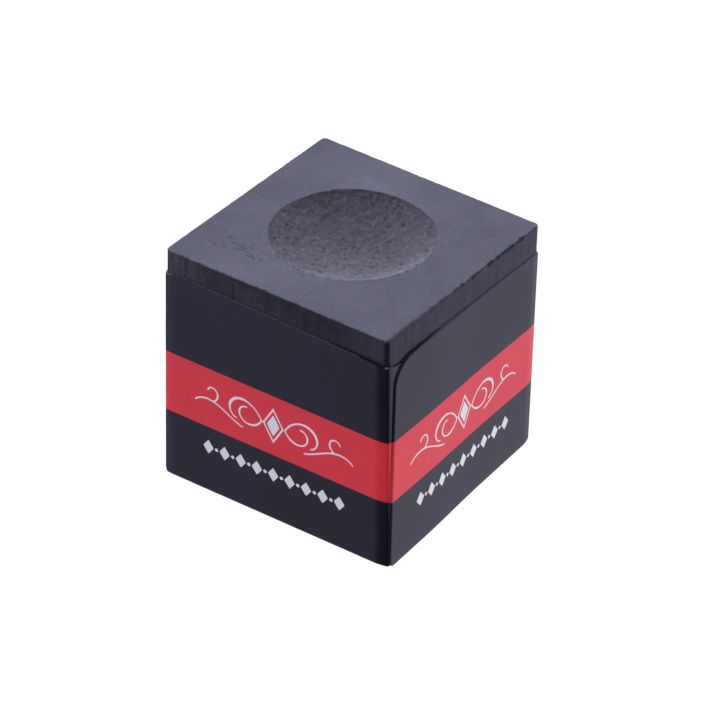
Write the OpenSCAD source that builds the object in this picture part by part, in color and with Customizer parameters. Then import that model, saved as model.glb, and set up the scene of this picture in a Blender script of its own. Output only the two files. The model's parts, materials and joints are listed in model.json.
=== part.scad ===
// Cue chalk cube: a pressed chalk block with a dimple for the cue tip, wrapped round its
// four sides in a printed paper strip, with a square paper label under it.
// Millimetres. +Z is up, and the origin is on the table under the middle of the block.
// The end of the paper strip laps over its own glue tab on the +X side, near the -Y edge.

/* [Chalk block] */
// Width of the block, along X
block_w = 22; // [20:0.1:26]
// Depth of the block, along Y
block_d = 21.6; // [20:0.1:26]
// Height of the block
block_h = 22; // [20:0.1:26]
// Radius of the four upright edges
edge_r = 0.45; // [0.2:0.05:1]
// Size of the bevel along the top and bottom edges
edge_bevel = 0.25; // [0.1:0.05:0.6]

/* [Tip dimple] */
// Diameter of the dimple's rim
dimple_d = 13.8; // [12:0.1:16]
// Depth of the dimple at its middle
dimple_depth = 1.7; // [0.8:0.1:3]
// How far the dimple is off the middle of the block, along X
dimple_x = -0.35; // [-1:0.05:1]
// How far the dimple is off the middle of the block, along Y
dimple_y = 0.25; // [-1:0.05:1]

/* [Paper and glue] */
// Thickness of the printed paper
paper_t = 0.12; // [0.08:0.01:0.2]
// Thickness of each film of glue
glue_t = 0.05; // [0.03:0.01:0.1]
// How far the glue stops short of the paper's edges
glue_inset = 0.3; // [0.1:0.05:1]

/* [Wrap label] */
// Height of the paper strip
label_h = 19.55; // [16:0.05:19.8]
// Height of the strip's lower edge above the table
label_z = 0.1; // [0:0.05:0.5]
// Width of the glue tab that the strip starts with
tab_w = 5; // [4:0.1:8]
// Angle at which the tab's top edge falls away
tab_taper = 10; // [0:1:15]
// Distance of the lapped end from the block's front edge
lap_setback = 0.7; // [0.6:0.05:1.5]
// Radius of the lapped end's upper corner
lap_corner_r = 2.4; // [1:0.1:3]
// Length over which the lapped end steps down off the tab
lap_step = 0.6; // [0.4:0.1:1.5]

/* [Base label] */
// Distance from the block's sides to the base label's edges
base_inset = 0.5; // [0.3:0.1:2]
// Corner radius of the base label
base_corner_r = 0.8; // [0.4:0.1:2]

/* [Hidden] */
$fn = 64;
// Extra length that lets a cutter pass clear through a surface
past = 1;
// The block stands on the base label and its glue
block_z = paper_t + glue_t;
block_top = block_z + block_h;
label_top = label_z + label_h;
// X of the strip's inner and outer faces on the +X side, first layer
inner_x = block_w / 2 + glue_t;
outer_x = inner_x + paper_t;
// X of the inner and outer faces of the end that laps over the tab
lap_inner_x = outer_x + glue_t;
lap_outer_x = lap_inner_x + paper_t;
// Y of the lapped end's leading edge, and of the tab's free end
lap_y = -block_d / 2 + lap_setback;
tab_y = -block_d / 2 + tab_w;
// Radius of the ball that a shallow dish of this width and depth belongs to
dimple_r = (pow(dimple_d / 2, 2) + pow(dimple_depth, 2)) / (2 * dimple_depth);
// Fall of the tab's top edge over the tab's whole width
tab_drop = tab_w * tan(tab_taper);

// Rectangle with true arcs at its corners
module round_rect(w, d, r) {
    square([w - 2 * r, d], center = true);
    square([w, d - 2 * r], center = true);
    for (x = [-1, 1], y = [-1, 1])
        translate([x * (w / 2 - r), y * (d / 2 - r)]) circle(r);
}

// The block's outline from above, grown outwards by an amount
module block_outline(grow) {
    round_rect(block_w + 2 * grow, block_d + 2 * grow, edge_r + grow);
}

// Three-sided bar, lying along Y, that bevels an edge at the origin
module bevel_bar(run) {
    rotate([90, 0, 0])
        linear_extrude(run + 2 * past, center = true)
            polygon([[-edge_bevel - past, past], [past, past], [past, -edge_bevel - past]]);
}

// Bevel bars along the four top edges of the block
module top_bevels() {
    for (side = [0, 180]) rotate([0, 0, side]) {
        translate([block_w / 2, 0, 0]) bevel_bar(block_d);
        rotate([0, 0, 90]) translate([block_d / 2, 0, 0]) bevel_bar(block_w);
    }
}

module chalk_block() {
    color("#62626f")
    difference() {
        translate([0, 0, block_z]) linear_extrude(block_h) block_outline(0);
        translate([0, 0, block_top]) top_bevels();
        translate([0, 0, block_z]) mirror([0, 0, 1]) top_bevels();
        translate([dimple_x, dimple_y, block_top - dimple_depth + dimple_r]) sphere(dimple_r);
    }
}

module wrap_glue() {
    color("#e8e2c8")
    translate([0, 0, label_z + glue_inset])
        linear_extrude(label_h - 2 * glue_inset)
            difference() {
                block_outline(glue_t);
                block_outline(0);
            }
}

// Second layer on the +X side, as thick as the paper and the glue under it, with the
// slope by which it comes down to the first layer beyond the tab
module lap_layer() {
    polygon([[outer_x - paper_t / 2, lap_y], [lap_outer_x, lap_y], [lap_outer_x, tab_y],
             [outer_x, tab_y + lap_step], [outer_x - paper_t / 2, tab_y + lap_step]]);
}

// Slot that parts the lapped end from the tab, and the hollow left past the tab's free end
module lap_slot() {
    polygon([[outer_x, lap_y - past], [lap_inner_x, lap_y - past], [lap_inner_x, tab_y],
             [inner_x, tab_y + lap_step], [inner_x - paper_t, tab_y + lap_step],
             [inner_x - paper_t, tab_y], [outer_x, tab_y]]);
}

// The strip seen from above: once round the block, and lapped over its own start
module strip_outline() {
    difference() {
        union() {
            block_outline(glue_t + paper_t);
            lap_layer();
        }
        block_outline(glue_t);
        lap_slot();
    }
}

// Wedge that slopes the tab's top edge, in the first layer only
module tab_slope_cutter() {
    translate([inner_x - glue_t / 2, 0, 0])
        rotate([90, 0, 90])
            linear_extrude(paper_t + glue_t)
                polygon([[tab_y - tab_w, label_top], [tab_y - tab_w, label_top + past],
                         [tab_y, label_top + past], [tab_y, label_top - tab_drop]]);
}

// Square-cornered piece with a round bite, that rounds the lapped end's upper corner
module lap_corner_cutter() {
    translate([lap_inner_x - glue_t / 2, lap_y + lap_corner_r, label_top - lap_corner_r])
        rotate([0, 90, 0])
            difference() {
                translate([-lap_corner_r - past, -lap_corner_r - past, 0])
                    cube([lap_corner_r + past, lap_corner_r + past, paper_t + glue_t]);
                translate([0, 0, -past]) cylinder(h = paper_t + 2 * past, r = lap_corner_r);
            }
}

module wrap_label() {
    color("#26262e")
    difference() {
        translate([0, 0, label_z]) linear_extrude(label_h) strip_outline();
        tab_slope_cutter();
        lap_corner_cutter();
    }
}

// Glue between the tab and the end that laps over it
module lap_glue() {
    color("#e8e2c8")
    translate([outer_x, lap_y + glue_inset, label_z + glue_inset])
        cube([glue_t, tab_y - lap_y - 2 * glue_inset, label_h - lap_corner_r - 2 * glue_inset]);
}

module base_glue() {
    color("#e8e2c8")
    translate([0, 0, paper_t])
        linear_extrude(glue_t)
            round_rect(block_w - 2 * (base_inset + glue_inset),
                       block_d - 2 * (base_inset + glue_inset), base_corner_r);
}

module base_label() {
    color("#26262e")
    linear_extrude(paper_t)
        round_rect(block_w - 2 * base_inset, block_d - 2 * base_inset, base_corner_r);
}

chalk_block();
wrap_glue();
wrap_label();
lap_glue();
base_glue();
base_label();
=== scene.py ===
# A cube of black cue chalk in its printed paper wrap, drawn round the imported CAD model.
# Lengths in this script are millimetres, in the CAD frame, until a mesh or the camera is made.
import json
import math

import bpy
import numpy as np
from mathutils import Matrix, Vector, noise


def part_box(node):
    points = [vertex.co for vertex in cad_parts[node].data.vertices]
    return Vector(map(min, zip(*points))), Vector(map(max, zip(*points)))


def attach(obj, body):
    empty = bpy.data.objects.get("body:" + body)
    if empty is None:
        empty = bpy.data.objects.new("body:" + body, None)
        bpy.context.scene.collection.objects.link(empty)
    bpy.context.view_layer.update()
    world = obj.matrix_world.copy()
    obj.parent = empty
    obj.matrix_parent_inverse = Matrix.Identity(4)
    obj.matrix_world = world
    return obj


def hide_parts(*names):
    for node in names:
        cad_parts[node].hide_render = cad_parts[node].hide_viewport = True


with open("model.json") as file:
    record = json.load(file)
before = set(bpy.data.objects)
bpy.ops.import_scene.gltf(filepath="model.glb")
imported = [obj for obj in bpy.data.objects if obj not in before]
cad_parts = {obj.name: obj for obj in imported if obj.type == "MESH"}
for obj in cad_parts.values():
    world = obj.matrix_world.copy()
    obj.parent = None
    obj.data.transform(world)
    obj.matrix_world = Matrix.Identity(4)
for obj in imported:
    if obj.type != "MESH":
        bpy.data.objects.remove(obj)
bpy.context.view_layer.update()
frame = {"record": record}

MM = 0.001


def node_box(name):
    """Lowest and highest corner of a CAD node, in millimetres."""
    low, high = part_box(name)
    return np.array(low) / MM, np.array(high) / MM


# ---- Sizes taken from the CAD model ----

CHALK_LOW, CHALK_HIGH = node_box("chalk_block")
LABEL_LOW, LABEL_HIGH = node_box("wrap_label")
BASE_LOW, BASE_HIGH = node_box("base_label")
LAP_GLUE_LOW, LAP_GLUE_HIGH = node_box("lap_glue")
BASE_GLUE_LOW, BASE_GLUE_HIGH = node_box("base_glue")

HALF_W, HALF_D, BLOCK_TOP = CHALK_HIGH
BLOCK_Z = CHALK_LOW[2]
LABEL_Z, LABEL_TOP = LABEL_LOW[2], LABEL_HIGH[2]
# The strip's outer face on -X and on +Y, and where its end laps over itself on +X
FACE_X, FACE_Y, LAP_X = -LABEL_LOW[0], LABEL_HIGH[1], LABEL_HIGH[0]
PAPER_T = BASE_HIGH[2] - BASE_LOW[2]
GLUE_T = BASE_GLUE_HIGH[2] - BASE_GLUE_LOW[2]
# The glue between the laps stops this far short of the paper's edges
GLUE_INSET = LAP_GLUE_LOW[2] - LABEL_Z
LAP_Y = LAP_GLUE_LOW[1] - GLUE_INSET
TAB_Y = LAP_GLUE_HIGH[1] + GLUE_INSET

# ---- Shape of the chalk ----

DIMPLE = next(m for m in frame["record"]["mounts"] if m["name"] == "tip_dimple")
DIMPLE_AT = np.array(DIMPLE["pos_m"][:2]) / MM
DIMPLE_DEPTH = BLOCK_TOP - DIMPLE["pos_m"][2] / MM
# Radius of the dimple's rim
DIMPLE_RIM = 6.9
# Radius of the ball that the dimple belongs to
BALL_R = (DIMPLE_RIM ** 2 + DIMPLE_DEPTH ** 2) / (2 * DIMPLE_DEPTH)
# The dimple is deeper towards +X and +Y by up to this share
DISH_SLOPE = 0.30
# A small step down inside the dimple's far rim
RIM_STEP = 0.06

# Radius of the upright edges, of the unworn top edges, and what each kind of wear adds to it
CORNER_R = 0.45
EDGE_R = 0.07
NIBBLE = 0.11
CHIP = 0.15
FRAY = 0.13
RUB = 0.17

# Cells across the top, how many of them a hidden cell spans, and how far out in the top's grid
# the dimple's rim lies; then rings of points round the worn edge, the sides and the hidden part
TOP_CELLS = 240
COARSE = 8
RIM_RING = 0.56
EDGE_STEPS = 4
SIDE_ROWS = 24
HIDDEN_ROWS = 6
# The fine sides end this far under the label's top, and are drawn in this far behind the paper
STRIP_BELOW = 0.9
UNDER_PAPER = 0.09
FOOT_BEVEL = 0.2

# Upright scores in the -Y side, and the scuffed patch of the top
GROOVES_X = (-8.9, -4.1)
GROOVE_W = 0.07
GROOVE_DEPTH = 0.04
SCUFF_AT = np.array((-5.7, -7.1))
SCUFF_SIZE = (2.2, 1.4)
SCUFF_DENTS = 27
# How dusty the sides and the part under the paper are; the -Y side is painted darker and the +X side
# paler than the others, as painted shade and painted light of those two sides
FRONT_DUST_AND_SHADE = 0.25
RIGHT_DUST_AND_LIGHT = 0.74
BACK_DUST = 0.45
HIDDEN_DUST = 0.4
# The dimple's pressed grains are longer one way: the direction, in degrees from +Y, and how much
GRAIN_LIE = 34.5
GRAIN_STRETCH = 1.5

# How far the upright edges are out of true in x, y and z. Here and below, four values are for
# the front left, front right, back left and back right edge.
TOPS_MOVED = ((-0.05, -0.12, 0.11, 0.05), (0.03, -0.09, 0.15, -0.10), (0.0, -0.02, 0.11, -0.10))
FEET_MOVED = ((-0.17, 0.31, 0.0, 0.05), (-0.13, 0.17, 0.0, 0.09), (0.0, 0.0, 0.0, 0.0))

# ---- Shape and print of the label ----

# The strip is cut a little askew: how much higher its foot and its top are at each upright edge
FOOT_CUT = (-0.06, -0.095, 0.04, 0.13)
TOP_CUT = (0.64, 0.10, 0.10, -0.06)
# How far the foot is drawn up round each upright edge, where the paper is creased
CREASED = (0.46, 0.0, 0.40, 0.40)
# How far the top dips at the front left edge and at the back right edge
TOP_DIP = 0.32
FAR_DIP = 0.30
TAB_TAPER = math.radians(10)
# Radius of the lapped end's upper and lower corners
LAP_CORNER_R = 2.4
LAP_FOOT_R = 0.65
# The lapped end lies a little forward, and leans further forward below this height
LAP_SHIFT = 0.12
LAP_LEAN = 0.66
LEAN_TOP = 17.0
# Length over which the paper rises onto the tab
LAP_RISE = 9.0
# Edges that turn in, as (width, depth): the lapped end's, the foot's and the top's
ROLLED = (0.19, 0.1778)
TUCKED = (0.18, 0.10)
NICKED = (0.06, 0.03)
# Distances under the strip's top at which the bare fibre begins and is full
FIBRE_EDGE = (0.055, 0.02)
# Spacing of the strip's points, and how many steps at its free end are made finer
PRINT_STEP = 0.11
END_STEPS = 24
HALF_STEPS = 36
# A bend in the paper: (length, angle) of its slack start, its crease and its slack end's two parts
BEND = ((0.6, 6.0), (0.46, 72.0), (0.55, 3.0), (0.45, 9.0))

# Lower and upper edge of the red band
BAND = (6.56, 12.42)
BAND_MIDDLE = sum(BAND) / 2
# Strokes of the scroll ornament, right-hand half: start x, y, heading in degrees,
# curvature at start and end per mm, length, half width
SCROLLS = (
    (1.15, 0.0, 62, -0.25, -1.15, 5.6, 0.135),
    (1.15, 0.0, -62, 0.45, 1.60, 4.2, 0.11),
    (3.0, -1.45, 12, 0.35, -0.75, 5.2, 0.125),
    (6.0, -0.15, 150, -0.90, -2.40, 2.4, 0.095),
)
STROKE_STEPS = 160
# Least half width of a stroke
THINNEST = 0.072
# Half size of the lozenge between the scrolls and of its frame, and half width of the frame's line
LOZENGE = (0.62, 1.05)
LOZENGE_FRAME = (0.95, 1.60)
FRAME_LINE = 0.075
# The row under the band: its middle, half size, pitch and count of its lozenges, radius of its dots
MARKS_Z = 4.55
MARK = (0.52, 0.70)
MARK_PITCH = 1.62
MARK_COUNT = 9
DOT_R = 0.17

# ---- Colours: each pair is what a mottled surface runs between ----

DENSE_CHALK = (0.014, 0.0137, 0.0155, 1)
CHALK_POWDER = ((0.135, 0.127, 0.146, 1), (0.125, 0.131, 0.150, 1))
DIMPLE_POWDER = (0.134, 0.130, 0.140, 1)
BLACK_INK = ((0.0078, 0.0075, 0.0098, 1), (0.0096, 0.0092, 0.0122, 1))
RED_INK = ((0.725, 0.032, 0.034, 1), (0.755, 0.037, 0.039, 1))
WHITE_INK = ((0.73, 0.75, 0.68, 1), (0.84, 0.86, 0.77, 1))
CUT_FIBRE = ((0.065, 0.063, 0.070, 1), (0.17, 0.165, 0.17, 1))
TORN_FIBRE = ((0.16, 0.155, 0.155, 1), (0.40, 0.39, 0.375, 1))
BASE_BLACK = ((0.008, 0.008, 0.014, 1), (0.014, 0.014, 0.022, 1))
BASE_FIBRE = ((0.10, 0.10, 0.11, 1), (0.45, 0.44, 0.42, 1))
DRY_GLUE = ((0.60, 0.55, 0.38, 1), (0.80, 0.77, 0.64, 1))

# ---- Light and camera ----

# Each lamp: name, azimuth, elevation, level, and how many degrees across it is
LAMPS = (
    ("key", -106, 48, 1.43, 12),
    ("table_bounce_left", -20, -15, 0.47, 30),
    ("table_bounce_right", 125, -15, 0.80, 30),
)
LAMP_TINT = (1.0, 1.0, 1.12)
SKY_LEVEL = 0.46
SKY_TINT = (1.0, 1.0, 1.52)
SKY_DARKEST = (0.03, 0.03, 0.04)
# Each quarter of the sky: azimuth, elevation, how far off in degrees its change begins and is
# full, and the change
SKY_QUARTERS = (
    (145, -34, 75, 20, (0.15, 0.15, 0.10)),
    (22, -30, 55, 27, (-0.44, -0.44, -0.67)),
    (-128, -30, 62, 30, (-0.38, -0.38, -0.57)),
    (85, 16, 52, 26, (-0.44, -0.44, -0.67)),
    (0, -90, 40, 10, (-0.25, -0.25, -0.38)),
)
# The point that the camera looks at, where it stands, how far it leans, and its lens
CAMERA_AIM = (0.06, 0.06, 10.64)
CAMERA_AZIMUTH = 34.48
CAMERA_ELEVATION = 34.74
CAMERA_ROLL = 1.38
CAMERA_DISTANCE = 296.5
CAMERA_LENS = 182.3


# ---- Helpers for shapes ----

def lumps(points, size, seed=0):
    """Smooth noise at points, from about -1 to 1, in lumps of that size."""
    return np.array([noise.noise(p) for p in (points / size + 31.7 * seed).tolist()])


def ramp(value, start, end):
    """0 at start, 1 at end, eased between."""
    t = np.clip((value - start) / (end - start), 0, 1)
    return t * t * (3 - 2 * t)


def points_at(x, y, z=0.0):
    """One array of points from their coordinates."""
    return np.stack([x, y, np.broadcast_to(z, x.shape)], axis=1)


def at_corners(x, y, values):
    """A value at (x, y), blended from those given for the block's four upright edges."""
    right = np.clip(x / HALF_W, -1.05, 1.05) / 2 + 0.5
    back = np.clip(y / HALF_D, -1.05, 1.05) / 2 + 0.5
    near = (1 - right) * values[0] + right * values[1]
    far = (1 - right) * values[2] + right * values[3]
    return (1 - back) * near + back * far


def settle(points):
    """Moves points as the slightly uneven block does, so that every layer stays in place."""
    points = np.array(points, dtype=float)
    x, y, z = points.T
    rise = np.clip((z - BLOCK_Z) / (BLOCK_TOP - BLOCK_Z), 0, 1)
    moved = points.copy()
    for axis, (top, foot) in enumerate(zip(TOPS_MOVED, FEET_MOVED)):
        moved[:, axis] += rise * at_corners(x, y, top) + (1 - rise) * at_corners(x, y, foot)
    return moved


def grid_faces(index):
    """Four-sided faces between the rows and columns of an array of point numbers."""
    corners = (index[:-1, :-1], index[:-1, 1:], index[1:, 1:], index[1:, :-1])
    return np.stack([c.ravel() for c in corners], axis=1).tolist()


def closed(ring_rows):
    """Rows of point numbers with the first column again after the last."""
    return np.concatenate([ring_rows, ring_rows[:, :1]], axis=1)


def rim_of(index):
    """The outer ring of a square array of point numbers, counter-clockwise."""
    return np.concatenate([index[0, :-1], index[:-1, -1], index[-1, :0:-1], index[:0:-1, 0]])


def fan_faces(fine, coarse):
    """Faces that join a fine ring to a ring with a whole fraction of its points, below it."""
    ratio = len(fine) // len(coarse)
    faces = []
    for i, here in enumerate(coarse):
        after = coarse[(i + 1) % len(coarse)]
        run = [fine[(i * ratio + j) % len(fine)] for j in range(ratio + 1)]
        half = ratio // 2
        faces += [(here, run[j + 1], run[j]) for j in range(half)]
        faces.append((here, after, run[half]))
        faces += [(after, run[j + 1], run[j]) for j in range(half, ratio)]
    return faces


def square_grid(cells):
    """Coordinates from -1 to 1 of a square grid's points, as two flat arrays."""
    line = np.linspace(-1, 1, cells + 1)
    u, v = np.meshgrid(line, line)
    return u.ravel(), v.ravel()


def to_disc(u, v):
    """Turns the square from -1 to 1 into a unit disc, its square rings into circles."""
    wide = np.abs(u) > np.abs(v)
    major = np.where(wide, u, v)
    minor = np.where(wide, v, u)
    angle = np.pi / 4 * minor / np.where(major == 0, 1, major)
    along, across = major * np.cos(angle), major * np.sin(angle)
    return np.where(wide, along, across), np.where(wide, across, along)


def to_outline(u, v, half_w, half_d, radius):
    """Takes points on the square's border to a rectangle with round corners."""
    x, y = u * half_w, v * half_d
    inner_x = np.clip(x, radius - half_w, half_w - radius)
    inner_y = np.clip(y, radius - half_d, half_d - radius)
    off_x, off_y = x - inner_x, y - inner_y
    length = np.maximum(np.hypot(off_x, off_y), 1e-9)
    return inner_x + radius * off_x / length, inner_y + radius * off_y / length


def block_outline(u, v, inset=0.0, radius=CORNER_R):
    """Takes points on the square's border to the block's outline, drawn in by an inset."""
    return to_outline(u, v, HALF_W - inset, HALF_D - inset, radius)


def new_object(name, data):
    """Puts a mesh, lamp or camera into the scene."""
    made = bpy.data.objects.new(name, data)
    bpy.context.scene.collection.objects.link(made)
    return made


def new_piece(name, points, faces, marks, material, stands_for):
    """Makes a mesh piece from millimetre points, with its per-point marks and its CAD links."""
    mesh = bpy.data.meshes.new(name)
    mesh.from_pydata((np.asarray(points) * MM).tolist(), [], faces)
    mesh.validate()
    for mark, values in marks.items():
        values = np.asarray(values, dtype=np.float32)
        kind, field = ("FLOAT", "value") if values.ndim == 1 else ("FLOAT_VECTOR", "vector")
        mesh.attributes.new(mark, kind, "POINT").data.foreach_set(field, values.ravel())
    mesh.shade_smooth()
    mesh.set_sharp_from_angle(angle=math.radians(50))
    mesh.materials.append(material)
    piece = new_object(name, mesh)
    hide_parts(*stands_for)
    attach(piece, "root")
    return piece


# ---- Chalk block ----

def edge_wear(x, y):
    """Radius of the worn top edge beside (x, y), and how dark the painted shadow just under it is
    there, from 0 to 1.
    """
    points = points_at(x, y)
    right, front = x > HALF_W - CORNER_R, y < CORNER_R - HALF_D
    rough = np.where(right, 1.0, np.where(front, 0.85, 0.4))
    nibbled = ramp(lumps(points, 0.27, 28), -0.1, 0.5)
    chipped = ramp(lumps(points, 0.9, 1), 0.05, 0.7)
    chipped = chipped * (0.45 + 0.55 * ramp(lumps(points, 0.4, 2), -0.3, 0.4))
    frayed = np.clip(0.7 + 1.1 * lumps(points, 0.7, 32) + 0.9 * lumps(points, 0.3, 34), 0, 1)
    frayed = right * np.exp(-((y - 5.0) / 3.4) ** 2) * frayed
    rubbed = right * ramp(y, 1.0, -6.0)
    radius = EDGE_R + rough * (NIBBLE * nibbled + CHIP * chipped) + FRAY * frayed + RUB * rubbed
    # How strongly the painted shadow under the worn edge shows
    bare = np.clip(0.8 * nibbled + chipped + 1.3 * frayed, 0, 1) * (1 - 0.8 * rubbed)
    return radius, bare


def rim_radius(way_x, way_y):
    """Radius of the dimple's slightly uneven rim in a direction given as a unit vector."""
    circle = points_at(way_x, way_y)
    uneven = 1 + 0.009 * lumps(circle, 0.35, 4) + 0.009 * lumps(circle, 0.07, 5)
    return DIMPLE_RIM * (uneven - 0.034 * ramp(way_y * 0.82 - way_x * 0.57, 0.1, 1.0))


def chalk_plan():
    """Plan position of the top's grid points, and how far out each is, from 0 to 1."""
    u, v = square_grid(TOP_CELLS)
    ring = np.maximum(np.abs(u), np.abs(v))
    scale = np.maximum(ring, 1e-9)
    circle = np.stack(to_disc(u, v), axis=1) / scale[:, None]
    rim = circle * rim_radius(*circle.T)[:, None]
    u, v = u / scale, v / scale
    wear, _ = edge_wear(*block_outline(u, v))
    edge = np.stack(block_outline(u, v, wear, np.maximum(CORNER_R - wear, 0.08)), axis=1)
    outer = np.clip((ring - RIM_RING) / (1 - RIM_RING), 0, 1)
    outer = 0.35 * ramp(ring, RIM_RING, 1) + 0.65 * outer
    inner = np.minimum(ring / RIM_RING, 1)
    inner = inner - 0.45 * np.sin(2 * np.pi * inner) / (2 * np.pi)
    beyond = (1 - outer)[:, None] * (rim + DIMPLE_AT) + outer[:, None] * edge
    plan = np.where(ring[:, None] < RIM_RING, rim * inner[:, None] + DIMPLE_AT, beyond)
    return *plan.T, ring


def dashes(x, y):
    """Depth, from 0 to 1, of the short dents scattered over the scuffed patch of the top."""
    rng = np.random.default_rng(12)
    depth = np.zeros_like(x)
    for _ in range(SCUFF_DENTS):
        centre = SCUFF_AT + rng.normal(0, (1.5, 0.85))
        lean = math.radians(rng.normal(-11, 14))
        length, width = rng.uniform(0.12, 0.24), rng.uniform(0.06, 0.09)
        along = (x - centre[0]) * math.cos(lean) + (y - centre[1]) * math.sin(lean)
        across = (y - centre[1]) * math.cos(lean) - (x - centre[0]) * math.sin(lean)
        depth = np.maximum(depth, np.exp(-(along / length) ** 2 - (across / width) ** 2))
    return depth


def dish(flat, off_x, off_y, reach):
    """How far the dimple's smooth floor lies under the top face, and which side a point is on.

    off_x and off_y are the distances from the dimple's middle as shares of its radius."""
    depth_in = DIMPLE_RIM - reach
    near_side = ramp(off_x * 0.76 - off_y * 0.65, -0.1, 0.7)
    far_side = ramp(off_y, 0.25, 0.85)
    sunk = np.sqrt(BALL_R ** 2 - np.minimum(reach, DIMPLE_RIM) ** 2)
    sunk = sunk - math.sqrt(BALL_R ** 2 - DIMPLE_RIM ** 2)
    sunk = sunk * (1 + DISH_SLOPE * (off_x * 0.82 + off_y * 0.57))
    step_end = 0.32 + 0.2 * lumps(flat, 0.8, 33)
    sunk = sunk + (0.02 + RIM_STEP * far_side) * ramp(depth_in, -0.02, step_end)
    return sunk + 0.04 * near_side * ramp(depth_in, 0.0, 0.4), near_side, far_side


def chalk_top():
    """Points of the top face and the dimple, with how dusty and how coarse each is."""
    x, y, ring = chalk_plan()
    flat = points_at(x, y)
    off_x, off_y = (x - DIMPLE_AT[0]) / DIMPLE_RIM, (y - DIMPLE_AT[1]) / DIMPLE_RIM
    away = np.maximum(np.hypot(off_x, off_y), 1e-9)
    reach = away * DIMPLE_RIM ** 2 / rim_radius(off_x / away, off_y / away)
    depth_in = DIMPLE_RIM - reach
    inside = ring < RIM_RING - 1e-6
    sunk, near_side, far_side = dish(flat, off_x, off_y, reach)
    bowl = np.where(inside, ramp(depth_in, 0.0, 0.25), 0)

    # Relief: pressed grains and pits in the dimple, crumbs on its near rim, a smooth scuffed face
    lie = np.array((-math.sin(math.radians(GRAIN_LIE)), math.cos(math.radians(GRAIN_LIE)), 0))
    grains = flat - (1 - 1 / GRAIN_STRETCH) * (flat @ lie)[:, None] * lie
    coarse = 0.045 * lumps(flat, 0.80, 6) + 0.046 * lumps(grains, 0.36, 7)
    coarse = coarse + 0.024 * lumps(grains, 0.19, 27)
    pits = ramp(lumps(grains, 0.32, 8), 0.42, 0.70)
    front = ramp(off_x * 0.72 - off_y * 0.69, 0.2, 0.85)
    burr = np.exp(-((depth_in - 0.10 - 0.10 * lumps(flat, 0.9, 31)) / 0.22) ** 2)
    crumbs = burr * front * (0.4 + 1.7 * lumps(flat, 0.50, 13) + 1.9 * lumps(flat, 0.24, 29))
    flecks = np.exp(-(depth_in / 1.3) ** 2) * np.clip(2.2 * lumps(grains, 0.26, 37), -1, 1)
    flecks = inside * front * flecks

    fine = 0.010 * lumps(flat, 0.33, 9) + 0.022 * lumps(flat, 3.2, 10)
    dents = dashes(x, y)
    specks = ramp(lumps(flat, 0.36, 11), 0.55, 0.75)
    specks = specks * ramp(lumps(flat, 4.0, 12), 0.0, 0.5)
    z = BLOCK_TOP - np.where(inside, sunk, 0) + bowl * (coarse - 0.07 * pits)
    z = z + (1 - bowl) * (fine - 0.055 * dents - 0.04 * specks)
    z = z + 0.09 * np.clip(crumbs, -0.5, 1.3) + 0.045 * flecks

    # Dust and painted light: less dust in the dimple, with a painted shade inside its far rim, a
    # painted highlight along its near rim and over its near side, and a paler front as painted light;
    # the top face is paler in its middle
    painted_highlight_band = ramp(depth_in - 0.5 * lumps(flat, 0.7, 35), 1.7, 0.5)
    painted_highlight_band = inside * front * (1 + 0.8 * lumps(flat, 0.35, 36)) * painted_highlight_band
    # Painted shade just inside the dimple's far rim
    shade = 0.06 * far_side * np.exp(-np.clip(depth_in, 0, None) / 0.7)
    dish_dust_and_light = 0.76 - shade + 0.22 * painted_highlight_band + 0.10 * near_side
    # Painted light: the dimple is painted paler towards its front
    dish_dust_and_light = dish_dust_and_light + 0.18 * (off_x * 0.35 - off_y * 0.94)
    dish_dust_and_light = dish_dust_and_light + 0.10 * lumps(flat, 0.5, 14) - 0.17 * pits * bowl
    # The top face is painted paler in a band round x = -3 mm
    paler_middle = 0.17 * np.exp(-((x + 3.0) / 5.5) ** 2) - 0.02
    dust_and_light = np.where(inside, dish_dust_and_light, 1.0 + paler_middle)
    dust_and_light = dust_and_light - (1 - bowl) * (0.60 * dents + 0.5 * specks)
    dust_and_light = dust_and_light + 0.55 * np.clip(crumbs, -0.6, 1.3) + 0.30 * flecks
    return points_at(x, y, z), dust_and_light, bowl


def border_square(count):
    """Points along the border of the square from -1 to 1, in the order of rim_of."""
    side = np.linspace(-1, 1, count // 4 + 1)[:-1]
    ones = np.ones_like(side)
    return (np.concatenate([side, ones, -side, -ones]),
            np.concatenate([-ones, side, ones, -side]))


def side_dust_and_shade(x, y):
    """How pale the sawn sides are: each side has its own tone, the -Y side darker and the +X side
    paler as painted shade and painted light, and the upright edges are painted dark as painted shade.
    """
    along_x, along_y = HALF_W - np.abs(x), HALF_D - np.abs(y)
    # The -Y side is paler towards its -X end, and the +X side towards +Y
    front = FRONT_DUST_AND_SHADE + 0.27 * ramp(x, -5.5, -10.2)
    right = RIGHT_DUST_AND_LIGHT + 0.013 * y
    on_x = np.where(x > 0, right, BACK_DUST)
    tone = np.where(along_y < along_x, np.where(y < 0, front, BACK_DUST), on_x)
    # Painted shade along the upright edges
    corner = np.maximum(along_x, along_y)
    return tone * ramp(corner, 0.20, 0.40)


def label_top(x, y):
    """Height of the strip's upper edge beside (x, y)."""
    corner = np.hypot(FACE_X + x, FACE_Y + y)
    far_corner = np.hypot(FACE_X - x, FACE_Y - y)
    dips = TOP_DIP * ramp(corner, 2.0, 0.2) + FAR_DIP * ramp(far_corner, 0.9, 0.1)
    return LABEL_TOP + at_corners(x, y, TOP_CUT) - dips


def chalk_ring(u, v, z, inset):
    """One ring of points round the block at height z, drawn in by inset, with saw marks."""
    x, y = block_outline(u, v, inset)
    flat = points_at(x, y)
    marks = 0.010 * lumps(flat, 0.28, 15) + 0.012 * lumps(flat, 1.1, 16)
    level = flat + (0, 0, 1) * np.asarray(z).reshape(-1, 1)
    marks = marks + 0.010 * lumps(level, 0.3, 17)
    kept = 1 - marks / np.hypot(x, y)
    return x * kept, y * kept


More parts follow.
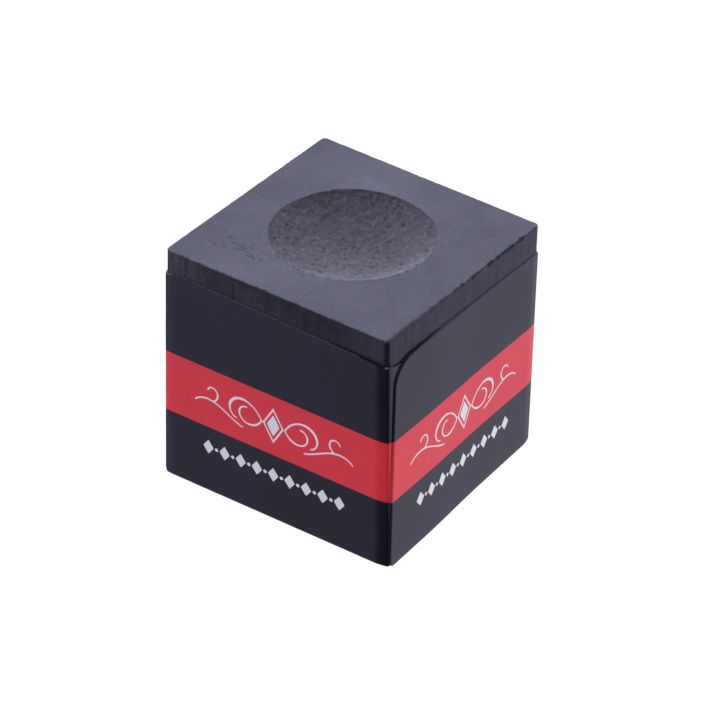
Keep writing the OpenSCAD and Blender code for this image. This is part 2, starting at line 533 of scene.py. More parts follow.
def groove(x, y):
    """1 in the middle of the narrow upright scores in the -Y side, 0 away from them."""
    near = sum(np.exp(-((x - at) / GROOVE_W) ** 2) for at in GROOVES_X)
    return near * (y < 0.5 - HALF_D)


def chalk_sides():
    """Rings of points from the worn top edge down to just under the label's top."""
    u, v = border_square(4 * TOP_CELLS)
    border = block_outline(u, v)
    wear, bare = edge_wear(*border)
    rings, dust_and_light = [], []
    for step in range(1, EDGE_STEPS + 1):
        turn = step / EDGE_STEPS * math.pi / 2
        inset = wear * (1 - math.sin(turn))
        z = BLOCK_TOP - wear * (1 - math.cos(turn))
        x, y = block_outline(u, v, inset, np.maximum(CORNER_R - inset, 0.08))
        rings.append(points_at(x, y, z))
        down = (step / EDGE_STEPS) ** 1.5 + 0.25 * lumps(rings[-1], 0.22, 30)
        # Painted shadow on the worn edge, darkest midway round it
        painted_edge_shadow = 0.7 * bare * math.sin(math.pi * (step + 0.5) / (EDGE_STEPS + 1.5))
        dust_and_light.append(((1 - down) * 0.95 + down * side_dust_and_shade(*border)) * (1 - painted_edge_shadow))
    low = LABEL_TOP - STRIP_BELOW
    for row in np.linspace(0, 1, SIDE_ROWS + 1)[1:]:
        z = (1 - row) * (BLOCK_TOP - wear) + row * low
        sunk = UNDER_PAPER * ramp(z, LABEL_TOP - 0.55, LABEL_TOP - 0.8)
        x, y = chalk_ring(u, v, z, sunk)
        scored = groove(x, y)
        level = points_at(x, y + GROOVE_DEPTH * scored, z)
        rings.append(level)
        mottled = 1 + 0.13 * lumps(level, 0.5, 18) + 0.16 * lumps(level * (1, 1, 0.12), 0.7, 19)
        # Painted shadow: the chalk just above the label's top, on the -Y side towards its +X end, is
        # painted dark for the gap's shadow
        by_label = np.exp(-((z - label_top(x, y) - 0.06) / 0.20) ** 2)
        gap_shadow = by_label * (y < CORNER_R - HALF_D) * ramp(x, 2.0, 8.0)
        dusty = side_dust_and_shade(*border) * np.clip(mottled, 0.2, 2)
        dust_and_light.append(dusty * (1 - 0.55 * scored) * (1 - 0.95 * gap_shadow))
    return np.array(rings), np.array(dust_and_light)


def hidden_rings(u, v):
    """Coarse rings of points down the block's hidden lower part, the last one bevelled in."""
    rings = []
    for z in (*np.linspace(LABEL_TOP - 1.6, BLOCK_Z + 0.3, HIDDEN_ROWS), BLOCK_Z):
        inset = UNDER_PAPER + (FOOT_BEVEL if z == BLOCK_Z else 0)
        rings.append(points_at(*block_outline(u, v, inset), z))
    return np.concatenate(rings)


def underside(first, border):
    """Points, numbered from first, and faces that close the underside inside its border's points."""
    u, v = square_grid(TOP_CELLS // COARSE)
    grid = np.arange(len(u)).reshape(TOP_CELLS // COARSE + 1, -1)
    inner = grid[1:-1, 1:-1]
    number = np.full(grid.shape, -1)
    number[1:-1, 1:-1] = first + np.arange(inner.size).reshape(inner.shape)
    number.flat[rim_of(grid)] = border
    keep = inner.ravel()
    inset = UNDER_PAPER + FOOT_BEVEL
    points = points_at(u[keep] * (HALF_W - inset), v[keep] * (HALF_D - inset), BLOCK_Z)
    return points, [face[::-1] for face in grid_faces(number)]


def chalk_block(material):
    """The pressed block: a fine top and rim, and a plain hidden lower part under the paper."""
    top, top_dust_and_light, top_bowl = chalk_top()
    rings, ring_dust_and_light = chalk_sides()
    coarse_u, coarse_v = border_square(rings.shape[1] // COARSE)
    hidden = hidden_rings(coarse_u, coarse_v)
    index = np.arange(len(top)).reshape(TOP_CELLS + 1, -1)
    side = len(top) + np.arange(ring_dust_and_light.size).reshape(ring_dust_and_light.shape)
    upper = np.vstack([rim_of(index), side])
    lower = side.max() + 1 + np.arange(len(hidden)).reshape(-1, len(coarse_u))
    under, under_faces = underside(lower.max() + 1, lower[-1])
    points = np.concatenate([top, rings.reshape(-1, 3), hidden, under])
    faces = grid_faces(index) + grid_faces(closed(upper[::-1]))
    faces += fan_faces(upper[-1].tolist(), lower[0].tolist()) + grid_faces(closed(lower[::-1]))
    faces += under_faces

    plain = np.full(len(hidden) + len(under), HIDDEN_DUST)
    bowl = np.concatenate([top_bowl, np.zeros(len(points) - len(top))])
    scuffed = np.exp(-(((points[:, :2] - SCUFF_AT) / SCUFF_SIZE) ** 2).sum(axis=1))
    marks = {
        "dust_and_light": np.concatenate([top_dust_and_light, ring_dust_and_light.ravel(), plain]),
        "bowl": bowl,
        "scuffed": scuffed * (points[:, 2] > BLOCK_TOP - 0.1) * (1 - bowl),
        "sawn": np.concatenate([np.zeros(len(top)), np.ones(len(points) - len(top))]),
    }
    return new_piece("pressed_chalk_block", settle(points), faces, marks, material,
                     ["chalk_block"])


# ---- Wrap label ----

def bend_turns(step):
    """Small steps along one bend of the paper: each step's length and the angle it turns by."""
    parts = []
    for length, angle in BEND:
        count = max(2, round(length / step * (3 if angle > 45 else 1)))
        parts += [(length / count, -math.radians(angle) / count)] * count
    return parts


def bend_reach(step):
    """How far before the corner of the two flat faces a bend begins, and how far past it ends."""
    heading, x, y = 0.0, 0.0, 0.0
    for length, turn in bend_turns(step):
        x += length * math.cos(heading + turn / 2)
        y -= length * math.sin(heading + turn / 2)
        heading += turn
    return x, y


def strip_columns(step, lapped=True):
    """Walks along the strip's outer face, from the tab round the block, one column at a time.

    Returns each column's place, outward direction, and distance walked."""
    before, after = bend_reach(step)
    # Without a lap, the walk ends just short of where it began
    last = LAP_Y if lapped else TAB_Y + 0.4
    wide, deep = 2 * FACE_X - before - after, 2 * FACE_Y - before - after
    flats = (FACE_Y + TAB_Y - before, wide, deep, wide, FACE_Y - last - after)
    steps = []
    for number, length in enumerate(flats):
        count = round(length / step)
        steps += [(length / count, 0.0)] * count
        if number < len(flats) - 1:
            steps += bend_turns(step)
    if lapped:
        end = sum(length for length, _ in steps[-END_STEPS:]) - HALF_STEPS * PRINT_STEP / 2
        steps = steps[:-END_STEPS] + [(PRINT_STEP / 2, 0.0)] * HALF_STEPS + finer_end(end)
    lengths, turns = np.array(steps).T
    headings = np.concatenate([[0], turns]).cumsum() - math.pi / 2
    middle = headings[:-1] + turns / 2
    moves = lengths[:, None] * np.stack([np.cos(middle), np.sin(middle)], axis=1)
    places = np.concatenate([[(FACE_X, TAB_Y)], moves]).cumsum(axis=0)
    outward = np.stack([-np.sin(headings), np.cos(headings)], axis=1)
    return places, outward, np.concatenate([[0], lengths]).cumsum()


def finer_end(length):
    """Steps that shorten towards the strip's free end, adding up to length."""
    steps, left = [], length
    while left > 0.03:
        steps.append((max(0.02, left * 0.16), 0.0))
        left -= steps[-1][0]
    return steps + [(left, 0.0)] if left > 1e-6 else steps


def row_heights():
    """Heights of the label's rows: close at its edges and under the print, wider elsewhere."""
    foot = LABEL_Z + np.array([0.02, 0.05, 0.10, 0.18, 0.35])
    head = LABEL_TOP - np.array([0.70, 0.48, 0.33, 0.24, 0.17, 0.11, 0.06, 0.02])
    marks = np.arange(MARKS_Z - 0.8, MARKS_Z + 0.81, PRINT_STEP)
    scroll = np.arange(BAND_MIDDLE - 1.95, BAND_MIDDLE + 1.96, PRINT_STEP)
    rows = [foot]
    for part, count in ((marks, 7), (scroll, 5), (head, 13)):
        rows += [np.linspace(rows[-1][-1], part[0], count)[1:-1], part]
    return np.concatenate(rows)


def strip_edges(places, outward, walked):
    """Height of the strip's foot and top at each column, and of its top before the corner is cut."""
    x, y = places.T
    foot = LABEL_Z + at_corners(x, y, FOOT_CUT)
    top = label_top(x, y)
    tab = walked < (FACE_Y + TAB_Y)
    top = top - np.where(tab, np.clip(y + FACE_Y, 0, None) * math.tan(TAB_TAPER), 0)
    turned = (1 - np.max(np.abs(outward), axis=1)) / (1 - math.sqrt(0.5))
    foot = foot + turned * at_corners(x, y, CREASED)
    left = walked[-1] - walked
    bite = np.clip(LAP_CORNER_R - left, 0, LAP_CORNER_R)
    worn = np.clip(LAP_FOOT_R - left, 0, LAP_FOOT_R)
    foot = foot + LAP_FOOT_R - np.sqrt(LAP_FOOT_R ** 2 - worn ** 2)
    bitten = top - (LAP_CORNER_R - np.sqrt(LAP_CORNER_R ** 2 - bite ** 2))
    return foot, bitten, top


def to_height(row, foot, top):
    """Takes a nominal row height to one between a column's own foot and top."""
    low, high = BAND[0] - 3.5, BAND[1]
    near_foot = foot + (row - LABEL_Z) * (low - foot) / (low - LABEL_Z)
    near_top = high + (row - high) * (top - high) / (LABEL_TOP - high)
    return np.where(row < low, near_foot, np.where(row > high, near_top, row))


def turned_in(gap, width, depth, fullness=0.98):
    """How far the paper turns in at this gap from its edge: an arc that stops short of upright."""
    t = np.clip(1 - gap / width, 0, 1)
    return depth * (1 - np.sqrt(1 - fullness * t ** 2))


def roll_in(left, below):
    """How far the lapped end's outer face rolls inwards near its edge."""
    in_corner = (left < LAP_CORNER_R) & (below < LAP_CORNER_R)
    round_gap = LAP_CORNER_R - np.hypot(LAP_CORNER_R - left, LAP_CORNER_R - below)
    along_top = below + 0.20 * ramp(left, 1.0, 4.5)
    gap = np.where(in_corner, round_gap, np.minimum(left, along_top))
    return turned_in(gap, *ROLLED, 0.99)


def print_field(u, z):
    """Signed distance in mm from the ornaments' edges, negative inside them.

    u is the distance from the middle of a face, z the height."""
    field = np.full(u.shape, 1.0)
    aside, up = np.abs(u), z - BAND_MIDDLE
    frame_gap = np.abs(lozenge_gap(aside, up, LOZENGE_FRAME)) - FRAME_LINE
    field = np.minimum(field, np.minimum(lozenge_gap(aside, up, LOZENGE), frame_gap))
    zone = np.flatnonzero((aside < 8.4) & (np.abs(up) < 2.3))
    for scroll in SCROLLS:
        x, y, half = scroll_points(*scroll)
        gaps = np.hypot(aside[zone, None] - x, up[zone, None] - y) - half
        field[zone] = np.minimum(field[zone], gaps.min(axis=1))
    half_row = MARK_PITCH * MARK_COUNT / 2
    for offset, shape, size in ((0.0, lozenge_gap, MARK), (0.5, dot_gap, DOT_R)):
        turns = u / MARK_PITCH + offset
        near = (turns - np.round(turns)) * MARK_PITCH
        row = np.where(aside < half_row - offset * MARK_PITCH, shape(near, z - MARKS_Z, size), 1.0)
        field = np.minimum(field, row)
    return field


def lozenge_gap(across, up, half):
    """Signed distance from a lozenge with this half width and half height."""
    wide, high = half
    return (np.abs(across) / wide + np.abs(up) / high - 1) * wide * high / math.hypot(wide, high)


def dot_gap(across, up, radius):
    """Signed distance from a dot."""
    return np.hypot(across, up) - radius


def scroll_points(x, y, heading, bend_start, bend_end, length, half_width):
    """Points along a stroke whose curvature changes evenly, with a pen's thick and thin parts."""
    t = (np.arange(STROKE_STEPS) + 0.5) / STROKE_STEPS
    turned = length * (bend_start * t + (bend_end - bend_start) * t * t / 2)
    angle = math.radians(heading) + turned
    pen = 0.45 + 0.55 * np.abs(np.sin(angle - math.radians(35)))
    taper = np.sqrt(np.sin(np.pi * (0.08 + 0.90 * t)))
    step = length / STROKE_STEPS
    half = np.maximum(half_width * pen * taper, THINNEST)
    return x + np.cumsum(np.cos(angle)) * step, y + np.cumsum(np.sin(angle)) * step, half


def gap_open(places, left):
    """How far the top of the strip stands off the chalk: 0 pressed to it, 1 gaping."""
    x, y = places.T
    by_lap = (left < FACE_Y * 1.8) * ramp(left, 8.0, 3.0)
    by_corner = (y < 0.1 - FACE_Y) * ramp(x, 2.0, 8.0)
    return np.maximum(by_lap, by_corner)


def face_distance(places, outward):
    """Distance along each face from its middle, with +u to the right as seen from outside."""
    x, y = places.T
    side_on_x = np.abs(outward[:, 0]) > np.abs(outward[:, 1])
    return np.where(side_on_x, y * np.sign(outward[:, 0]), -x * np.sign(outward[:, 1]))


def strip_faces(outer, inner):
    """Faces of a strip's two sides and its two long edges."""
    faces = [face[::-1] for face in grid_faces(outer)] + grid_faces(inner)
    faces += grid_faces(np.vstack([outer[0], inner[0]]))
    return faces + grid_faces(np.vstack([inner[-1], outer[-1]]))


def bare_edge_and_painted_light(points, below):
    """How bare the paper is: 0 is printed, 1 shows its grey fibre and 2 its palest torn fibre. Near
    the -Y side's front corner and along the lap's edge the fibre is painted out to black as painted
    shade of the gap there, near the front left corner it is partly painted out, and on the +X side it
    is painted paler as painted light.

    below is how far under the strip's top each point of the outer face, which comes first, lies."""
    x, y, z = points.T
    bare = np.ones(len(points))
    bare[:len(below)] = ramp(below, *FIBRE_EDGE)
    on_right = x > FACE_X - 0.3
    by_corner = (y < 0.2 - FACE_Y) * ramp(x, 7.4, 9.6)
    by_lap = on_right * (y > LAP_Y) * ramp(y, -5.5, -8.0)
    at_left = 0.42 * ramp(np.hypot(x + FACE_X, y + FACE_Y), 2.6, 1.2)
    painted_light_run = on_right * ramp(y, -7.5, -3.5)
    # Painted shade and painted light on the cut edge's fibre
    bare = bare * (1 + 0.5 * painted_light_run) * (1 - np.maximum(np.maximum(by_corner, by_lap), at_left))
    nick = np.hypot(x - FACE_X + 0.25, y + FACE_Y - 0.12)
    return np.maximum(bare, 2 * ramp(nick, 0.17, 0.08) * (z > LABEL_TOP - 0.03))


def wrap_label(material):
    """The paper strip: once round the block, with its end lapped over the tab it began with."""
    places, outward, walked = strip_columns(PRINT_STEP)
    left = walked[-1] - walked
    foot, top, uncut = strip_edges(places, outward, walked)
    lap = (LAP_X - FACE_X) * ramp(places[:, 1], TAB_Y + LAP_RISE, TAB_Y + 0.2)
    lap = lap * (left < 2 * FACE_Y)
    rows = row_heights()
    u = face_distance(places, outward)
    heights = np.array([to_height(row, foot, top) for row in rows])
    shape = heights.shape
    spread, x, y = (np.broadcast_to(a, shape).ravel() for a in (u, *places.T))
    outer = points_at(x, y, heights.ravel())
    wavy = 0.010 * lumps(outer, 5.0, 20) + 0.006 * lumps(outer, 1.7, 21)
    below = np.clip(top - heights, 0, None)
    above = np.clip(heights - foot, 0, None)
    lapped = np.broadcast_to((left < FACE_Y * 1.8), shape)
    rolled = np.where(lapped, roll_in(np.broadcast_to(left, shape), uncut - heights), 0)
    tucked = turned_in(above, *TUCKED)
    nicked = turned_in(below, *NICKED)
    offset = wavy.reshape(shape) + lap - rolled - tucked - nicked
    lean = ramp(left, 4.0, 0.0) * (LAP_SHIFT + LAP_LEAN * np.clip(1 - heights / LEAN_TOP, 0, 1))
    outer = outer.reshape(*shape, 3)
    outer[..., 1] -= lean
    outer[..., :2] += offset[..., None] * outward

    inner_rows = np.array([0, len(rows) // 3, 2 * len(rows) // 3, len(rows) - 1])
    thickness = PAPER_T - tucked - nicked - np.minimum(rolled, 0.06)
    thickness[-1] += (1 - gap_open(places, left)) * (GLUE_T + 0.01 + lap)
    inner = outer[inner_rows]
    inner[..., :2] -= thickness[inner_rows][..., None] * outward
    outer_index = np.arange(heights.size).reshape(shape)
    inner_index = heights.size + outer_index[:len(inner_rows)]
    faces = strip_faces(outer_index, inner_index)
    faces.append(outer_index[::-1, 0].tolist() + inner_index[:, 0].tolist())
    faces.append(outer_index[:, -1].tolist() + inner_index[::-1, -1].tolist())
    points = np.concatenate([outer, inner]).reshape(-1, 3)
    printed = points_at(spread, heights.ravel(), print_field(spread, heights.ravel()))
    back = points_at(np.tile(u, len(inner_rows)), inner[..., 2].ravel(), 1.0)
    marks = {"print": np.concatenate([printed, back]), "bare": bare_edge_and_painted_light(points, below.ravel())}
    return new_piece("printed_wrap_label", settle(points), faces, marks, material,
                     ["wrap_label"])


# ---- Glue films and base label ----

def wrap_glue(material):
    """The film that holds the strip to the block: a closed band, a little short at both edges."""
    places, outward, _ = strip_columns(0.6, lapped=False)
    places, outward = places[:-1], outward[:-1]
    clear = 0.2 * GLUE_T
    rows = np.linspace(LABEL_Z + GLUE_INSET + 0.2, LABEL_TOP - 2 * GLUE_INSET, 24)
    flat = np.array([[(*place, z) for place in places] for z in rows]).reshape(-1, 3)
    ragged = 0.12 * lumps(flat, 1.3, 22)
    flat[:, 2] += ragged * (np.abs(flat[:, 2] - rows.mean()) > 0.45 * np.ptp(rows))
    out = np.tile(outward, (len(rows), 1))
    dabbed = 0.5 + 0.5 * lumps(flat, 2.0, 23)
    outer, inner = flat.copy(), flat.copy()
    outer[:, :2] -= (PAPER_T + clear) * out
    inner[:, :2] -= (PAPER_T + clear + (0.6 + 0.2 * dabbed)[:, None] * GLUE_T) * out
    index = np.arange(len(flat)).reshape(len(rows), -1)
    faces = strip_faces(closed(index), closed(index + len(flat)))
    points = settle(np.concatenate([outer, inner]))
    return new_piece("wrap_glue_film", points, faces, {}, material, ["wrap_glue"])


def plate(half, radius, cells, ragged, seed):
    """A thin plate of unit thickness from z 0 to 1, with round corners and a slightly ragged edge."""
    u, v = square_grid(cells)
    ring = np.maximum(np.abs(u), np.abs(v))
    scale = np.maximum(ring, 1e-9)
    x, y = to_outline(u / scale, v / scale, *half, radius)
    flat = points_at(x * ring, y * ring)
    drawn_in = ragged * (0.5 + 0.5 * lumps(flat, 1.1, seed)) * ring ** 6 / half[0]
    flat[:, :2] *= (1 - drawn_in)[:, None]
    index = np.arange(len(flat)).reshape(cells + 1, -1)
    upper = flat + (0, 0, 1)
    rim = rim_of(index)
    edge = np.vstack([rim, rim + len(flat)])
    faces = [face[::-1] for face in grid_faces(index)] + grid_faces(index + len(flat))
    faces += grid_faces(closed(edge))
    bare = np.tile(ramp(ring, 0.965, 1.0), 2)
    return np.concatenate([flat, upper]), faces, bare


def base_label(material):
    """The square paper label that closes the underside."""
    half = (BASE_HIGH - BASE_LOW) / 2
    points, faces, bare = plate(half[:2], 0.8, 60, 0.03, 24)
    points[:, 2] *= PAPER_T
    return new_piece("base_paper_label", settle(points), faces, {"bare": bare}, material,
                     ["base_label"])


def base_glue(material):
    """The film between the base label and the block."""
    half = (BASE_GLUE_HIGH - BASE_GLUE_LOW) / 2
    points, faces, _ = plate(half[:2], 0.8, 40, 0.5, 25)
    points[:, 2] = BASE_GLUE_LOW[2] + GLUE_T * (0.1 + 0.8 * points[:, 2])
    return new_piece("base_glue_film", settle(points), faces, {}, material, ["base_glue"])


def lap_glue(material):
    """The film between the tab and the end that laps over it."""
    half = (LAP_GLUE_HIGH - LAP_GLUE_LOW) / 2
    middle = (LAP_GLUE_HIGH + LAP_GLUE_LOW) / 2
    flat, faces, _ = plate(half[1:], 0.6, 30, 0.25, 26)
    # The waves in the tab reach a little past its plain face
    x = FACE_X + 0.012 + GLUE_T * (0.1 + 0.8 * flat[:, 2])
    points = points_at(x, middle[1] + flat[:, 0], middle[2] + flat[:, 1])
    return new_piece("lap_glue_film", settle(points), faces, {}, material, ["lap_glue"])


# ---- Helpers for materials ----

def add_node(tree, kind, inputs, **settings):
    """Adds a shader node of a kind. Each input is a number, a colour or another node's output."""
    made = tree.nodes.new("ShaderNode" + kind)
    for name, value in settings.items():
        setattr(made, name, value)
    for name, value in inputs.items():
        if isinstance(value, bpy.types.NodeSocket):
            tree.links.new(value, made.inputs[name])
        else:
            made.inputs[name].default_value = value
    return made


def new_material(name, finish):
    """A material whose surface is a Principled shader with these constant inputs."""
    material = bpy.data.materials.new(name)
    material.use_nodes = True
    tree = material.node_tree
    tree.nodes.clear()
    surface = add_node(tree, "BsdfPrincipled", finish)
    add_node(tree, "OutputMaterial", {"Surface": surface.outputs["BSDF"]})
    return material, tree, surface


def calc(tree, operation, a, b):
    """Adds a math node and returns its output."""
    return add_node(tree, "Math", {0: a, 1: b}, operation=operation).outputs[0]


def times(tree, a, b):
    """Multiplies two values."""
    return calc(tree, "MULTIPLY", a, b)


def total(tree, first, *rest):
    """Adds values up."""
    for value in rest:
        first = calc(tree, "ADD", first, value)
    return first


def mix(tree, amount, a, b):
    """Adds a colour mix node and returns its output."""
    return add_node(tree, "Mix", {0: amount, 6: a, 7: b}, data_type="RGBA",
                    clamp_factor=False).outputs[2]


def ease(tree, value, start, end, low=0.0, high=1.0):
    """Adds a smooth step from low, where value is start, to high, where it is end."""
    inputs = {"Value": value, "From Min": start, "From Max": end, "To Min": low, "To Max": high}
    return add_node(tree, "MapRange", inputs, interpolation_type="SMOOTHSTEP").outputs["Result"]


def mark(tree, name, output="Fac"):
    """Reads one of the mesh's per-point marks."""
    return add_node(tree, "Attribute", {}, attribute_name=name).outputs[output]


def grain(tree, size, detail=3.0, roughness=0.6, stretch=(1, 1, 1), lie=0.0):
    """Noise from 0 to 1 in the object's own space, in lumps of size millimetres.

    stretch lengthens them along X, Y and Z, after those axes are turned by lie degrees about Z."""
    place = add_node(tree, "TexCoord", {}).outputs["Object"]
    lump = {"Vector": place, "Rotation": (0, 0, math.radians(lie)),
            "Scale": [s * size * MM for s in stretch]}
    scaled = add_node(tree, "Mapping", lump, vector_type="TEXTURE")
    inputs = {"Vector": scaled.outputs[0], "Scale": 1.0, "Detail": detail, "Roughness": roughness}
    return add_node(tree, "TexNoise", inputs).outputs[0]


def dress(tree, surface, colour, rough, height, depth):
    """Drives the surface's colour, roughness and fine relief, which is depth millimetres deep."""
    bump = {"Height": height, "Distance": depth * MM, "Strength": 1.0}
    normal = add_node(tree, "Bump", bump).outputs["Normal"]
    for name, value in (("Base Color", colour), ("Roughness", rough), ("Normal", normal)):
        tree.links.new(value, surface.inputs[name])


# ---- Materials ----

def chalk_material():
    """Pressed black chalk: dense and dark where it is sawn or worn, pale grey where dust lies, and
    lighter or darker where the dust mark carries painted light and painted shade.
    """
    finish = {"IOR": 1.35, "Specular IOR Level": 0.25, "Diffuse Roughness": 0.6}
    material, tree, surface = new_material("pressed_chalk", finish)
    bowl, sawn = mark(tree, "bowl"), mark(tree, "sawn")
    cloud = ease(tree, grain(tree, 4.5, 3.0), 0.25, 0.75, -0.09, 0.09)
    speckle = times(tree, calc(tree, "SUBTRACT", grain(tree, 0.16, 3.0, 0.7), 0.5), 0.5)
    streak = calc(tree, "SUBTRACT", grain(tree, 0.30, 2.0, 0.6, (1, 1, 12.5)), 0.5)
    streak = times(tree, times(tree, streak, sawn), 0.22)
    long_way = (1, GRAIN_STRETCH, 1)
    pale = ease(tree, grain(tree, 0.34, 3.0, 0.6, long_way, GRAIN_LIE), 0.53, 0.68, 0.0, 0.34)
    dark = ease(tree, grain(tree, 0.30, 3.0, 0.6, long_way, GRAIN_LIE), 0.46, 0.32, 0.0, 0.29)
    crumbs = calc(tree, "SUBTRACT", pale, dark)
    crumbs = times(tree, crumbs, ease(tree, bowl, 0.0, 1.0, 0.38, 1.0))
    crumbs = times(tree, crumbs, ease(tree, sawn, 0.0, 1.0, 1.0, 0.45))
    nicks = ease(tree, grain(tree, 0.22, 2.0, 0.5, (2.0, 0.77, 1)), 0.60, 0.70)
    nicks = times(tree, nicks, mark(tree, "scuffed"))
    dust_and_light = total(tree, mark(tree, "dust_and_light"), cloud, speckle, streak, crumbs)
    dust_and_light = calc(tree, "SUBTRACT", dust_and_light, times(tree, nicks, 0.35))

    powder = mix(tree, ease(tree, grain(tree, 1.7, 3.0, 0.6), 0.35, 0.65), *CHALK_POWDER)
    powder = mix(tree, bowl, powder, DIMPLE_POWDER)
    colour = mix(tree, calc(tree, "MAXIMUM", dust_and_light, 0.0), DENSE_CHALK, powder)
    rough = ease(tree, dust_and_light, 0.0, 0.8, 0.72, 0.95)
    coarse = times(tree, grain(tree, 0.30, 3.0, 0.65), ease(tree, bowl, 0, 1, 0.2, 1.0))
    height = total(tree, grain(tree, 0.10, 4.0, 0.7), coarse)
    height = calc(tree, "SUBTRACT", height, times(tree, nicks, 1.2))
    dress(tree, surface, colour, rough, height, 0.022)
    return material


def printed_material():
    """Glossy black paper with a red band, white scrolls in it and a row of white marks below."""
    finish = {"IOR": 1.5, "Specular IOR Level": 0.5}
    material, tree, surface = new_material("printed_paper", finish)
    place = add_node(tree, "SeparateXYZ", {"Vector": mark(tree, "print", "Vector")})
    height, field = place.outputs["Y"], place.outputs["Z"]
    # The ink's edges fade over twice this distance
    soft = 0.02
    in_band = times(tree, ease(tree, height, BAND[0] - soft, BAND[0] + soft),
                    ease(tree, height, BAND[1] + soft, BAND[1] - soft))
    mottle = ease(tree, grain(tree, 2.5, 3.0), 0.3, 0.7)
    black = mix(tree, mottle, *BLACK_INK)
    red = mix(tree, mottle, *RED_INK)
    white = mix(tree, grain(tree, 0.25), *WHITE_INK)
    ink = mix(tree, in_band, black, red)
    ink = mix(tree, ease(tree, field, soft, -soft), ink, white)
    fibre = mix(tree, grain(tree, 0.12, 3.0, 0.7), *CUT_FIBRE)
    torn = mix(tree, grain(tree, 0.12, 3.0, 0.7), *TORN_FIBRE)
    fibre = mix(tree, ease(tree, mark(tree, "bare"), 1.2, 1.9), fibre, torn)
    bare = ease(tree, mark(tree, "bare"), 0.35, 0.75)
    handled = ease(tree, grain(tree, 6.0, 4.0, 0.6), 0.3, 0.75, 0.20, 0.28)
    rough = calc(tree, "MAXIMUM", handled, times(tree, bare, 0.9))
    peel = total(tree, grain(tree, 0.9, 2.0), times(tree, grain(tree, 0.15, 2.0), 0.15))
    dress(tree, surface, mix(tree, bare, ink, fibre), rough, peel, 0.004)
    return material


def base_material():
    """Black satin paper with its fibres showing at the rubbed edges."""
    material, tree, surface = new_material("base_paper", {"IOR": 1.5, "Specular IOR Level": 0.4})
    black = mix(tree, grain(tree, 1.8, 4.0), *BASE_BLACK)
    fibre = mix(tree, grain(tree, 0.12, 3.0), *BASE_FIBRE)
    rubbed = ease(tree, times(tree, mark(tree, "bare"), grain(tree, 0.5, 3.0)), 0.35, 0.6)
    colour = mix(tree, rubbed, black, fibre)
    rough = ease(tree, grain(tree, 3.0, 4.0), 0.3, 0.7, 0.38, 0.52)
    dress(tree, surface, colour, rough, grain(tree, 0.2, 4.0, 0.7), 0.006)
    return material


def glue_material():
    """Dried label paste: yellowish, uneven and slightly glossy."""
    material, tree, surface = new_material("label_glue", {"IOR": 1.47})
    dabs = grain(tree, 1.4, 4.0, 0.6)
    rough = ease(tree, dabs, 0.3, 0.7, 0.30, 0.50)
    dress(tree, surface, mix(tree, dabs, *DRY_GLUE), rough, dabs, 0.015)
    return material


# ---- Stage, light and camera ----

def direction(azimuth, elevation):
    """Unit vector from the origin towards an azimuth, 0 at -Y, and an elevation, in degrees."""
    a, e = math.radians(azimuth), math.radians(elevation)
    return Vector((math.sin(a) * math.cos(e), -math.cos(a) * math.cos(e), math.sin(e)))


def backdrop():
    """A pale floor that curves up into a dome all round, in metres. Only the camera sees it."""
    floor_r, bend_r, height = 0.60, 0.45, 1.45
    around = 96
    turns = np.linspace(0, math.pi / 2, 14)[1:]
    profile = [(r, -0.02 * MM) for r in np.linspace(0.05, floor_r, 12)]
    profile += [(floor_r + bend_r * math.sin(t), bend_r * (1 - math.cos(t))) for t in turns]
    profile += [((floor_r + bend_r) * math.cos(t), bend_r + (height - bend_r) * math.sin(t))
                for t in turns]
    angles = np.linspace(0, 2 * math.pi, around + 1)[:-1]
    points = [(r * math.cos(a), r * math.sin(a), z) for r, z in profile for a in angles]
    index = closed(np.arange(len(points)).reshape(len(profile), -1))
    mesh = bpy.data.meshes.new("pale_floor")
    # The dome is left open at its top, and the floor's middle is one face
    mesh.from_pydata(points, [], grid_faces(index)[:-around] + [index[0, :-1].tolist()])
    mesh.validate()
    mesh.shade_smooth()
    finish = {"Roughness": 1.0, "Specular IOR Level": 0.0, "Base Color": (0.06, 0.06, 0.06, 1),
              "Emission Color": (1.0, 1.0, 1.0, 1), "Emission Strength": 1.02}
    material, _, _ = new_material("pale_floor", finish)
    mesh.materials.append(material)
    floor = new_object("pale_floor", mesh)
    for rays in ("diffuse", "glossy", "transmission", "shadow"):
        setattr(floor, "visible_" + rays, False)


def soft_light(name, azimuth, elevation, level, spread):
    """A distant soft light. level is the brightness it gives a white face turned towards it."""
    light = bpy.data.lights.new(name, "SUN")
    light.energy = level * math.pi * max(LAMP_TINT)
    light.angle = math.radians(spread)
    light.color = [t / max(LAMP_TINT) for t in LAMP_TINT]
    lamp = new_object(name, light)
    lamp.rotation_mode = "QUATERNION"
    lamp.rotation_quaternion = direction(azimuth, elevation).to_track_quat("Z", "Y")
    lamp.visible_glossy = False


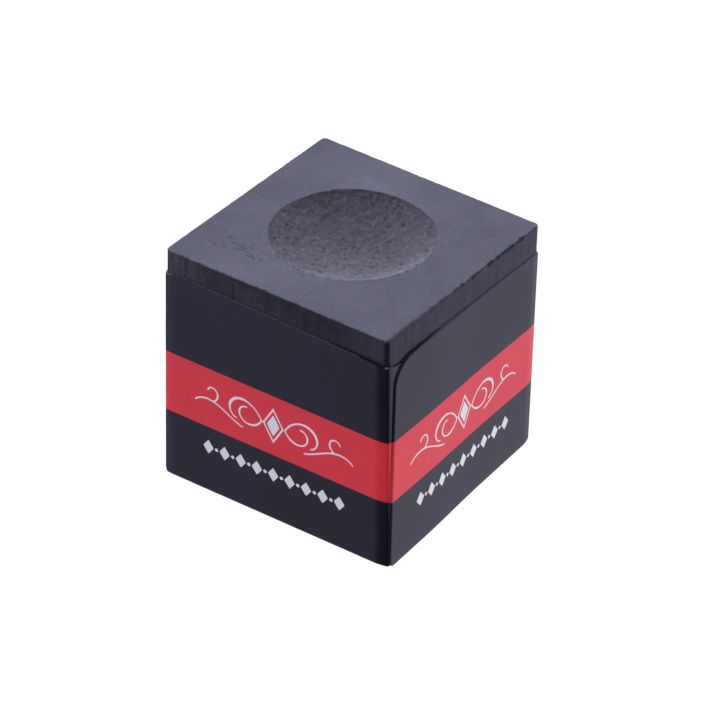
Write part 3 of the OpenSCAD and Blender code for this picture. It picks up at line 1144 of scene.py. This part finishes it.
def surroundings():
    """A soft even studio: what the glossy paper reflects, with darker and lighter quarters."""
    world = bpy.data.worlds.new("studio")
    bpy.context.scene.world = world
    world.use_nodes = True
    tree = world.node_tree
    tree.nodes.clear()
    way = add_node(tree, "TexCoord", {}).outputs["Generated"]
    colour = [SKY_LEVEL * t for t in SKY_TINT]
    for azimuth, elevation, begin, full, change in SKY_QUARTERS:
        facing = add_node(tree, "VectorMath", {0: way, 1: direction(azimuth, elevation)},
                          operation="DOT_PRODUCT").outputs["Value"]
        part = ease(tree, facing, math.cos(math.radians(begin)), math.cos(math.radians(full)))
        colour = add_node(tree, "VectorMath", {0: part, 1: change, 2: colour},
                          operation="MULTIPLY_ADD").outputs[0]
    colour = add_node(tree, "VectorMath", {0: colour, 1: SKY_DARKEST},
                      operation="MAXIMUM").outputs[0]
    lit = add_node(tree, "Background", {"Color": colour, "Strength": 1.0})
    add_node(tree, "OutputWorld", {"Surface": lit.outputs[0]})


def camera():
    """The photograph's view: a long lens looking down on the -Y and +X sides."""
    data = bpy.data.cameras.new("camera")
    data.sensor_width = 36
    data.lens = CAMERA_LENS
    data.clip_start, data.clip_end = 0.01, 10
    viewer = new_object("camera", data)
    back = direction(CAMERA_AZIMUTH, CAMERA_ELEVATION)
    level = Vector((0, 0, 1)).cross(back).normalized()
    roll = math.radians(CAMERA_ROLL)
    right = level * math.cos(roll) + back.cross(level) * math.sin(roll)
    up = back.cross(right)
    place = Vector(CAMERA_AIM) * MM + back * CAMERA_DISTANCE * MM
    viewer.matrix_world = Matrix.Translation(place) @ Matrix((right, up, back)).transposed().to_4x4()
    bpy.context.scene.camera = viewer


def main():
    """Builds every piece, then the studio and the camera."""
    chalk_block(chalk_material())
    wrap_label(printed_material())
    base_label(base_material())
    glue = glue_material()
    wrap_glue(glue)
    lap_glue(glue)
    base_glue(glue)
    backdrop()
    surroundings()
    for lamp in LAMPS:
        soft_light(*lamp)
    bpy.context.scene.view_settings.view_transform = "Standard"
    camera()


main()
